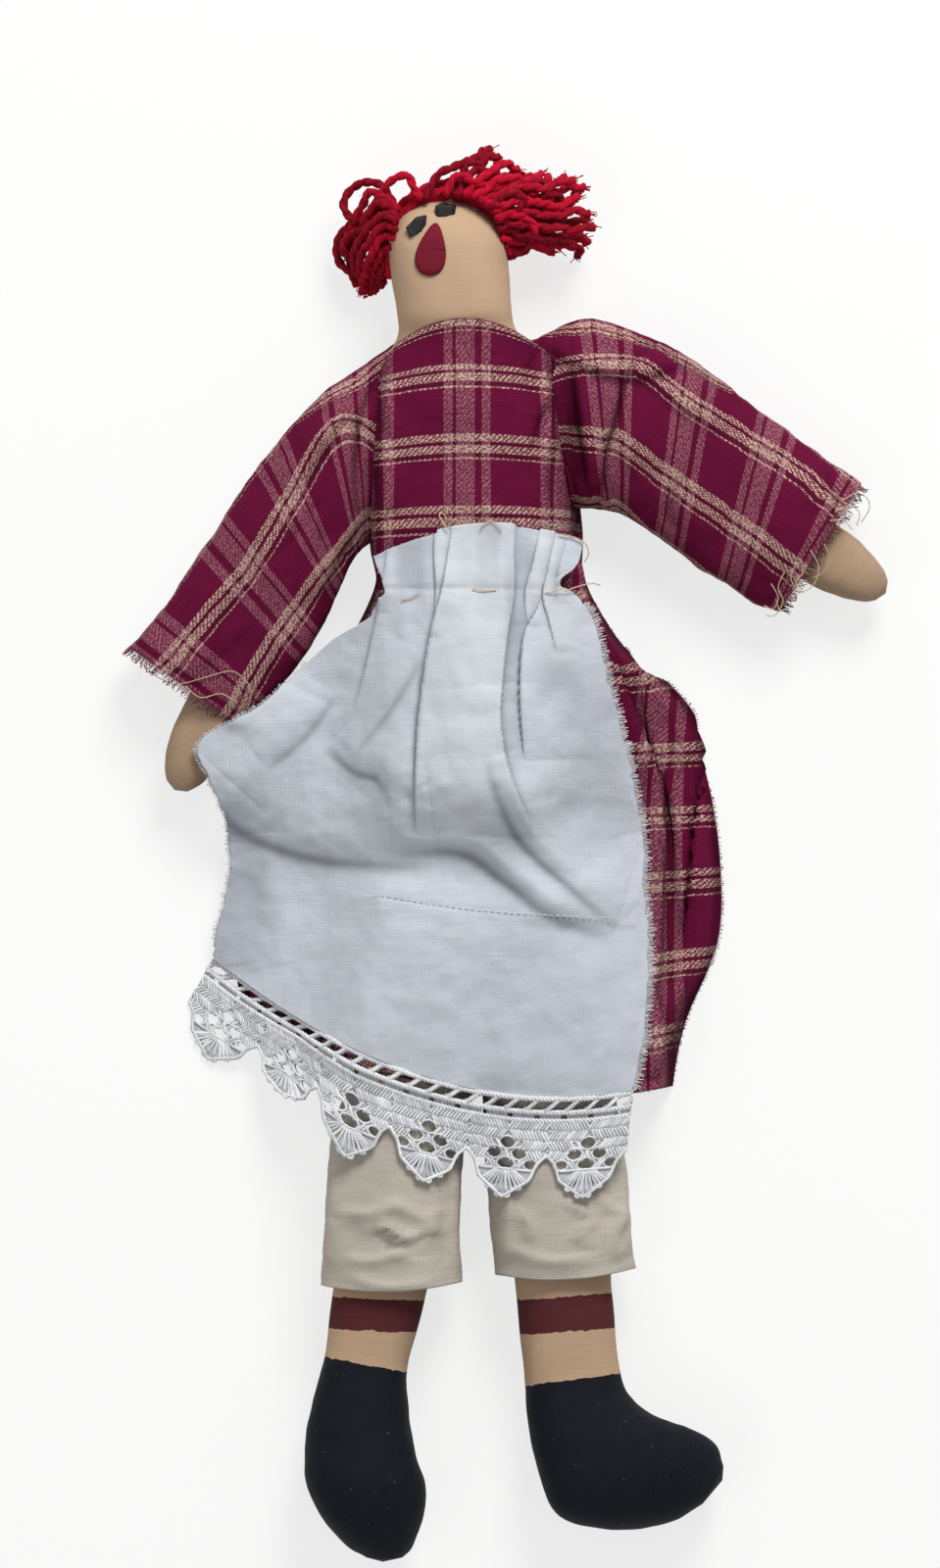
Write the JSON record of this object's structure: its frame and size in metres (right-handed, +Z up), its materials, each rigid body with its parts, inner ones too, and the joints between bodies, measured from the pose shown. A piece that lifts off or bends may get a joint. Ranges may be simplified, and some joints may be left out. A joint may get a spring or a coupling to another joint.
{
  "type": "rag doll",
  "caption": "Stuffed muslin rag doll lying on its back, with yarn hair, bead eyes, plaid kimono-cut dress, lace-edged gathered apron, bloomers and painted boots.",
  "frame": {"origin": "on the back panel of the dress, under the hips, on the plane that the doll lies on", "axes": "+Z up out of the face, off the surface it lies on; +Y towards the head; +X to the right of someone looking down at the face. Left and right in node names are as seen that way."},
  "size_m": [0.2472, 0.4594, 0.0496],
  "materials": {
    "muslin": "matt woven cotton, aged",
    "fill": "loose fibre fill",
    "bead": "faceted, glossy",
    "nose_cloth": "matt",
    "yarn": "plied cotton yarn",
    "plaid_cloth": "homespun plaid, wine red with beige stripes",
    "linen": "plain weave, raw edges",
    "cotton_thread": "sewing thread",
    "crochet_cotton": "crochet cotton",
    "bloomer_cloth": "wrinkled muslin"
  },
  "bodies": {
    "torso": {"body_skin": "muslin", "body_stuffing": "fill", "eye_left": "bead", "eye_right": "bead", "nose_patch": "nose_cloth", "hair_left": "yarn", "hair_right": "yarn", "hair_top": "yarn", "bloomer_seat": "bloomer_cloth", "dress_back": "plaid_cloth", "dress_front": "plaid_cloth", "apron": "linen", "gather_thread": "cotton_thread"},
    "left_arm": {"arm_skin_left": "muslin", "arm_stuffing_left": "fill", "sleeve_left": "plaid_cloth"},
    "right_arm": {"arm_skin_right": "muslin", "arm_stuffing_right": "fill", "sleeve_right": "plaid_cloth"},
    "lap": {"hip_strip": "muslin", "apron_lace": "crochet_cotton"},
    "left_leg": {"leg_skin_left": "muslin", "leg_stuffing_left": "fill", "bloomer_leg_left": "bloomer_cloth"},
    "right_leg": {"leg_skin_right": "muslin", "leg_stuffing_right": "fill", "bloomer_leg_right": "bloomer_cloth"}
  },
  "joints": [
    {"name": "left_arm_swing", "type": "hinge", "parent": "torso", "child": "left_arm", "pos_m": [-0.046, 0.1385, 0.0124], "axis": [0, 0, -1], "range_deg": [-5, 60], "deforming": ["sleeve_left", "dress_front", "apron"]},
    {"name": "right_arm_swing", "type": "hinge", "parent": "torso", "child": "right_arm", "pos_m": [0.0086, 0.155, 0.0124], "axis": [0, 0, 1], "range_deg": [-25, 40], "deforming": ["sleeve_right", "dress_front"]},
    {"name": "hip_fold", "type": "hinge", "parent": "torso", "child": "lap", "pos_m": [-0.00891, 0.0017, 0.014], "axis": [-0.9989, -0.0471, 0], "range_deg": [0, 90], "deforming": ["dress_front", "apron"]},
    {"name": "left_leg_swing", "type": "hinge", "parent": "lap", "child": "left_leg", "pos_m": [-0.0237, -0.0154, 0.014], "axis": [0, 0, -1], "range_deg": [-1, 6], "deforming": ["dress_front", "apron", "apron_lace"]},
    {"name": "right_leg_swing", "type": "hinge", "parent": "lap", "child": "right_leg", "pos_m": [0.0083, -0.0154, 0.014], "axis": [0, 0, 1], "range_deg": [-1, 6], "deforming": ["dress_front", "apron", "apron_lace"]}
  ]
}
